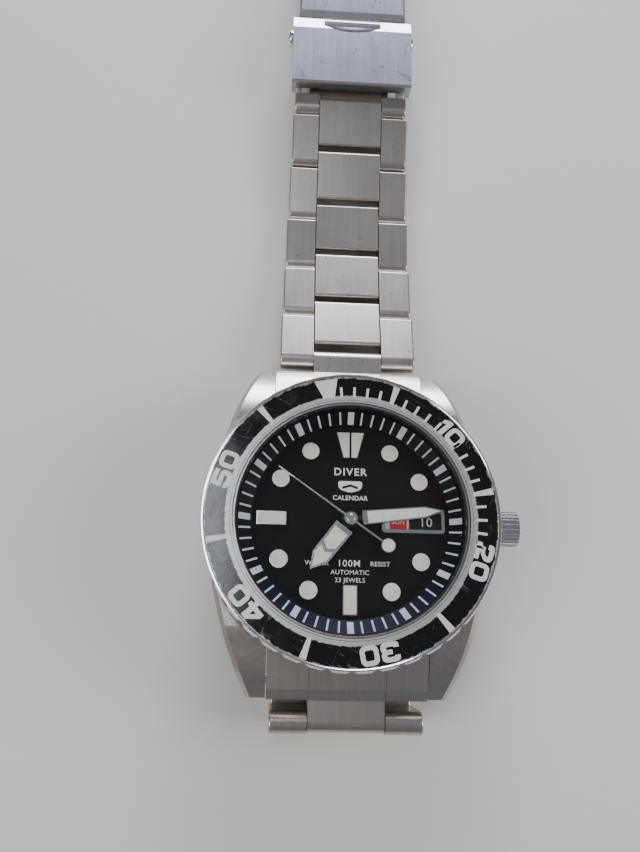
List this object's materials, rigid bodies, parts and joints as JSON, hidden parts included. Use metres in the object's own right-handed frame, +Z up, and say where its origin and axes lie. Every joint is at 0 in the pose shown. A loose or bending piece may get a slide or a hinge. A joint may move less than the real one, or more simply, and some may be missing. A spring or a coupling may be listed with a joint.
{
  "type": "dive watch",
  "caption": "Steel automatic dive watch with rotating timing bezel, day-date window, crown, hinged three-piece link bracelet and fold-over clasp with flip lock.",
  "frame": {"origin": "centre of the whole watch's footprint, on the surface it lies on", "axes": "+Y from the head along the bracelet to the clasp, +X towards the crown, +Z up off the surface, close to the dial's normal"},
  "size_m": [0.0458, 0.1418, 0.0196],
  "materials": {
    "brushed_steel": "satin brushed stainless steel",
    "polished_steel": "polished stainless steel",
    "polished_trim": "polished trim with pale luminous paint",
    "mineral_glass": "clear flat mineral glass",
    "gasket_rubber": "black rubber",
    "bezel_enamel": "glossy black printed metal with worn silver marks",
    "dial_black": "satin black dial",
    "chapter_black": "matt black ring with pale minute bars",
    "date_black": "black printed disc",
    "day_red": "red printed disc",
    "holder_plastic": "moulded ring",
    "movement_brass": "gilt brass",
    "movement_nickel": "nickel plated plate"
  },
  "bodies": {
    "head": {"case_middle": "brushed_steel", "case_back": "brushed_steel", "case_back_glass": "mineral_glass", "case_back_gasket": "gasket_rubber", "crystal": "mineral_glass", "crystal_gasket": "gasket_rubber", "bezel_click_spring": "polished_steel", "chapter_ring": "chapter_black", "dial": "dial_black", "hour_markers": "polished_trim", "date_window_frame": "polished_trim", "movement_holder": "holder_plastic", "main_plate": "movement_nickel", "movement_bridges": "movement_nickel", "crown_tube": "polished_steel", "end_links": "brushed_steel", "lug_spring_bars": "polished_steel"},
    "bezel": {"bezel_ring": "polished_steel", "bezel_insert": "bezel_enamel"},
    "hour_hand": {"hour_hand": "polished_trim"},
    "minute_hand": {"minute_hand": "polished_trim"},
    "second_hand": {"second_hand": "polished_trim"},
    "date_disc": {"date_disc": "date_black"},
    "day_disc": {"day_disc": "day_red"},
    "mainspring_barrel": {"mainspring_barrel": "movement_brass"},
    "balance_wheel": {"balance_wheel": "movement_brass"},
    "rotor": {"rotor": "movement_nickel"},
    "setting_lever": {"setting_lever": "polished_steel"},
    "crown": {"crown": "polished_steel", "stem": "polished_steel"},
    "twelve_row_1": {"twelve_row_1_outer_links": "brushed_steel", "twelve_row_1_centre_link": "brushed_steel"},
    "twelve_row_2": {"twelve_row_2_outer_links": "brushed_steel", "twelve_row_2_centre_link": "brushed_steel"},
    "twelve_row_3": {"twelve_row_3_outer_links": "brushed_steel", "twelve_row_3_centre_link": "brushed_steel"},
    "twelve_row_4": {"twelve_row_4_outer_links": "brushed_steel", "twelve_row_4_centre_link": "brushed_steel"},
    "twelve_row_5": {"twelve_row_5_outer_links": "brushed_steel", "twelve_row_5_centre_link": "brushed_steel"},
    "six_row_1": {"six_row_1_outer_links": "brushed_steel", "six_row_1_centre_link": "brushed_steel"},
    "six_row_2": {"six_row_2_outer_links": "brushed_steel", "six_row_2_centre_link": "brushed_steel"},
    "six_row_3": {"six_row_3_outer_links": "brushed_steel", "six_row_3_centre_link": "brushed_steel"},
    "six_row_4": {"six_row_4_outer_links": "brushed_steel", "six_row_4_centre_link": "brushed_steel"},
    "six_row_5": {"six_row_5_outer_links": "brushed_steel", "six_row_5_centre_link": "brushed_steel"},
    "six_row_6": {"six_row_6_outer_links": "brushed_steel", "six_row_6_centre_link": "brushed_steel"},
    "clasp_end_link": {"clasp_end_link": "brushed_steel"},
    "clasp_cover": {"clasp_cover": "brushed_steel", "clasp_pins": "polished_steel"},
    "flip_lock": {"flip_lock": "brushed_steel"},
    "left_button": {"left_button": "polished_steel"},
    "right_button": {"right_button": "polished_steel"},
    "outer_blade": {"outer_blade": "brushed_steel"},
    "inner_blade": {"inner_blade": "brushed_steel"}
  },
  "joints": [
    {"name": "bezel_turn", "type": "hinge", "parent": "head", "child": "bezel", "pos_m": [-0.0024, -0.04205, 0.01762], "axis": [0, 0.0976, 0.9952], "continuous": true},
    {"name": "crown_pull", "type": "slide", "parent": "head", "child": "setting_lever", "axis": [1, 0, 0], "range_m": [0, 0.0015]},
    {"name": "crown_turn", "type": "hinge", "parent": "setting_lever", "child": "crown", "pos_m": [0.0176, -0.04273, 0.01065], "axis": [1, 0, 0], "continuous": true},
    {"name": "minute_turn", "type": "hinge", "parent": "head", "child": "minute_hand", "pos_m": [-0.0024, -0.04232, 0.01483], "axis": [0, -0.0976, -0.9952], "continuous": true},
    {"name": "hour_turn", "type": "hinge", "parent": "head", "child": "hour_hand", "pos_m": [-0.0024, -0.04236, 0.01443], "axis": [0, -0.0976, -0.9952], "continuous": true},
    {"name": "barrel_turn", "type": "hinge", "parent": "head", "child": "mainspring_barrel", "pos_m": [0.0031, -0.04915, 0.01178], "axis": [0, -0.0976, -0.9952], "continuous": true},
    {"name": "second_turn", "type": "hinge", "parent": "head", "child": "second_hand", "pos_m": [-0.0024, -0.04229, 0.01523], "axis": [0, -0.0976, -0.9952], "continuous": true},
    {"name": "date_turn", "type": "hinge", "parent": "head", "child": "date_disc", "pos_m": [-0.0024, -0.04247, 0.01334], "axis": [0, 0.0976, 0.9952], "continuous": true},
    {"name": "day_turn", "type": "hinge", "parent": "head", "child": "day_disc", "pos_m": [-0.0024, -0.04247, 0.01334], "axis": [0, 0.0976, 0.9952], "continuous": true},
    {"name": "rotor_turn", "type": "hinge", "parent": "head", "child": "rotor", "pos_m": [-0.0024, -0.04298, 0.00816], "axis": [0, 0.0976, 0.9952], "continuous": true},
    {"name": "balance_swing", "type": "hinge", "parent": "head", "child": "balance_wheel", "pos_m": [-0.0094, -0.04821, 0.01119], "axis": [0, 0.0976, 0.9952], "range_deg": [-270, 270], "stiffness_Nm_per_rad": 0.00001},
    {"name": "twelve_row_1_hinge", "type": "hinge", "parent": "head", "child": "twelve_row_1", "pos_m": [-0.0024, -0.01661, 0.00548], "axis": [-1, 0, 0], "range_deg": [-22, 12]},
    {"name": "twelve_row_2_hinge", "type": "hinge", "parent": "twelve_row_1", "child": "twelve_row_2", "pos_m": [-0.0024, -0.00781, 0.00318], "axis": [-1, 0, 0], "range_deg": [-8, 26]},
    {"name": "twelve_row_3_hinge", "type": "hinge", "parent": "twelve_row_2", "child": "twelve_row_3", "pos_m": [-0.0024, 0.00116, 0.00167], "axis": [-1, 0, 0], "range_deg": [-4, 30]},
    {"name": "twelve_row_4_hinge", "type": "hinge", "parent": "twelve_row_3", "child": "twelve_row_4", "pos_m": [-0.0024, 0.01026, 0.00157], "axis": [-1, 0, 0], "range_deg": [-1, 33]},
    {"name": "twelve_row_5_hinge", "type": "hinge", "parent": "twelve_row_4", "child": "twelve_row_5", "pos_m": [-0.0024, 0.01918, 0.00337], "axis": [-1, 0, 0], "range_deg": [-15, 19]},
    {"name": "clasp_end_link_hinge", "type": "hinge", "parent": "twelve_row_5", "child": "clasp_end_link", "pos_m": [-0.0024, 0.02816, 0.00486], "axis": [-1, 0, 0], "range_deg": [-22.4, 11.6]},
    {"name": "clasp_cover_hinge", "type": "hinge", "parent": "clasp_end_link", "child": "clasp_cover", "pos_m": [-0.0024, 0.03616, 0.00486], "axis": [-1, 0, 0], "range_deg": [-2, 5]},
    {"name": "flip_lock_hinge", "type": "hinge", "parent": "clasp_cover", "child": "flip_lock", "pos_m": [-0.0024, 0.04286, 0.00716], "axis": [-1, 0, 0], "range_deg": [0, 105]},
    {"name": "left_button_press", "type": "slide", "parent": "clasp_cover", "child": "left_button", "axis": [1, 0, 0], "range_m": [0, 0.0006], "stiffness_N_per_m": 800},
    {"name": "right_button_press", "type": "slide", "parent": "clasp_cover", "child": "right_button", "axis": [-1, 0, 0], "range_m": [0, 0.0006], "stiffness_N_per_m": 800},
    {"name": "outer_blade_hinge", "type": "hinge", "parent": "clasp_cover", "child": "outer_blade", "pos_m": [-0.0024, 0.06716, 0.0031], "axis": [1, 0, 0], "range_deg": [0, 75]},
    {"name": "inner_blade_hinge", "type": "hinge", "parent": "outer_blade", "child": "inner_blade", "pos_m": [-0.0024, 0.03356, 0.00125], "axis": [-1, 0, 0], "range_deg": [0, 150]},
    {"name": "six_row_1_hinge", "type": "hinge", "parent": "head", "child": "six_row_1", "pos_m": [-0.0024, -0.06936, 0.01065], "axis": [-1, 0, 0], "range_deg": [0, 108.6]},
    {"name": "six_row_2_hinge", "type": "hinge", "parent": "six_row_1", "child": "six_row_2", "pos_m": [-0.0024, -0.06936, 0.00155], "axis": [-1, 0, 0], "range_deg": [0, 103]},
    {"name": "six_row_3_hinge", "type": "hinge", "parent": "six_row_2", "child": "six_row_3", "pos_m": [-0.0024, -0.06026, 0.00155], "axis": [-1, 0, 0], "range_deg": [0, 13]},
    {"name": "six_row_4_hinge", "type": "hinge", "parent": "six_row_3", "child": "six_row_4", "pos_m": [-0.0024, -0.05116, 0.00155], "axis": [-1, 0, 0], "range_deg": [0, 13]},
    {"name": "six_row_5_hinge", "type": "hinge", "parent": "six_row_4", "child": "six_row_5", "pos_m": [-0.0024, -0.04206, 0.00155], "axis": [-1, 0, 0], "range_deg": [0, 13]},
    {"name": "six_row_6_hinge", "type": "hinge", "parent": "six_row_5", "child": "six_row_6", "pos_m": [-0.0024, -0.03296, 0.00155], "axis": [-1, 0, 0], "range_deg": [0, 13]}
  ],
  "couplings": [
    {"joint": "hour_turn", "follows": "minute_turn", "ratio": 0.083333},
    {"joint": "barrel_turn", "follows": "minute_turn", "ratio": -0.14286}
  ]
}
